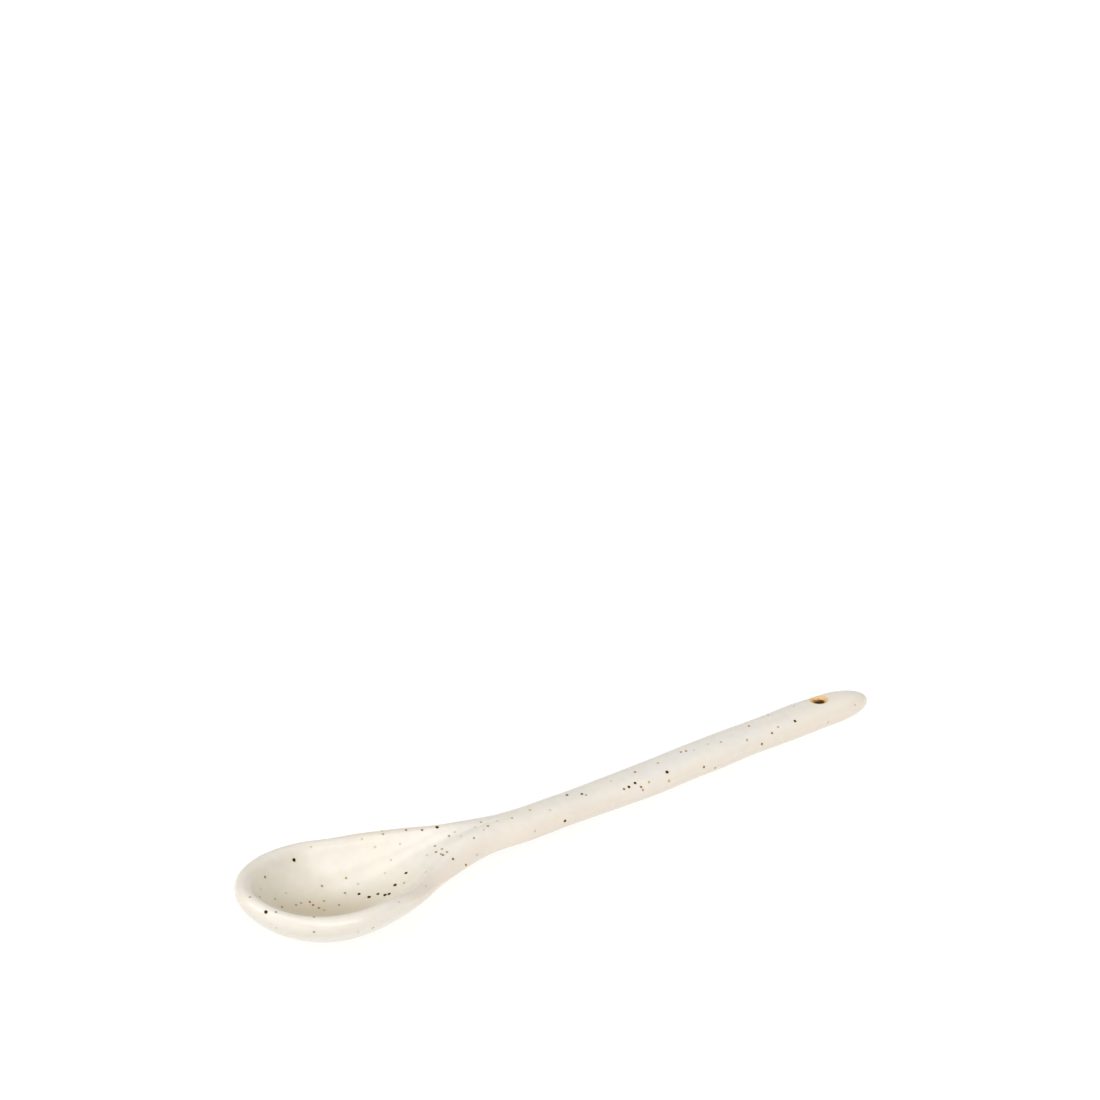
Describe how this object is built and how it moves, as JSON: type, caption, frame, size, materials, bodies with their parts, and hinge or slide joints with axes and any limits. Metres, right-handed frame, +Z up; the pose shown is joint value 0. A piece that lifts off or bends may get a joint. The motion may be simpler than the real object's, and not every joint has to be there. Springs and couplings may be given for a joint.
{
  "type": "coffee spoon",
  "caption": "Small hand-built stoneware spoon with an egg-shaped bowl, an oval handle and a round hanging hole near its end, under a glossy speckled cream glaze.",
  "frame": {"origin": "on the table, under the middle of the spoon's outline, with the spoon lying on its bowl and on the end of its handle", "axes": "+X from the bowl's tip to the handle's end, +Y across the spoon, +Z up out of the bowl's hollow"},
  "size_m": [0.1406, 0.0274, 0.0125],
  "materials": {
    "cream_glaze": "glossy cream glaze with iron specks",
    "brown_stoneware": "bare fired stoneware, brown and matt"
  },
  "bodies": {
    "root": {"clay_bowl": "brown_stoneware", "clay_handle": "brown_stoneware", "glaze_coat": "cream_glaze"}
  },
  "joints": []
}
